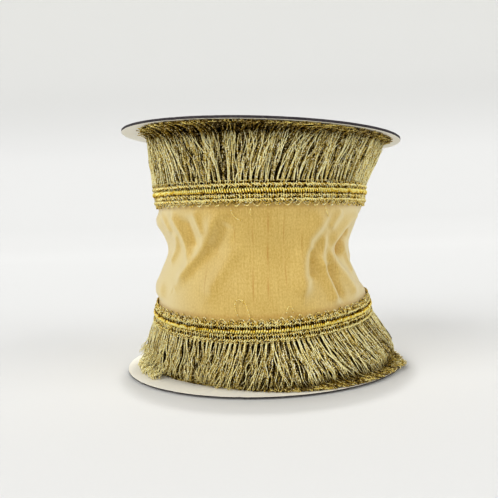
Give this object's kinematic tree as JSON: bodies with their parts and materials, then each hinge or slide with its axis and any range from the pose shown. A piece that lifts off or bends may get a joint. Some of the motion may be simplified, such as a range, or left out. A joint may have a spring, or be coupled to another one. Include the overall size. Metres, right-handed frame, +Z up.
{
  "type": "reel of fringed ribbon trim",
  "caption": "Wide ribbon trim with a gold braid and thread fringe along both edges, wound on a flanged board reel that stands on end.",
  "frame": {"origin": "centre of the lower flange's underside, on the surface that the reel stands on", "axes": "+Z up along the reel's axis; -Y is the front that the picture shows; +X is to the right seen from the front"},
  "size_m": [0.1186, 0.1184, 0.1006],
  "materials": {
    "board": "smooth white-lined board with a dark grey cut edge",
    "ribbon": "light gold slubbed fabric, soft sheen",
    "braid": "braided metallic gold yarn",
    "fringe_thread": "antique gold metallic thread",
    "inner_fringe_thread": "antique gold metallic thread in shade"
  },
  "bodies": {
    "root": {"flange_bottom": "board", "flange_top": "board", "ribbon_roll": "ribbon", "braid_bottom": "braid", "braid_top": "braid", "fringe_bottom": "fringe_thread", "fringe_top": "fringe_thread", "inner_fringe_bottom": "inner_fringe_thread", "inner_fringe_top": "inner_fringe_thread"}
  },
  "joints": []
}
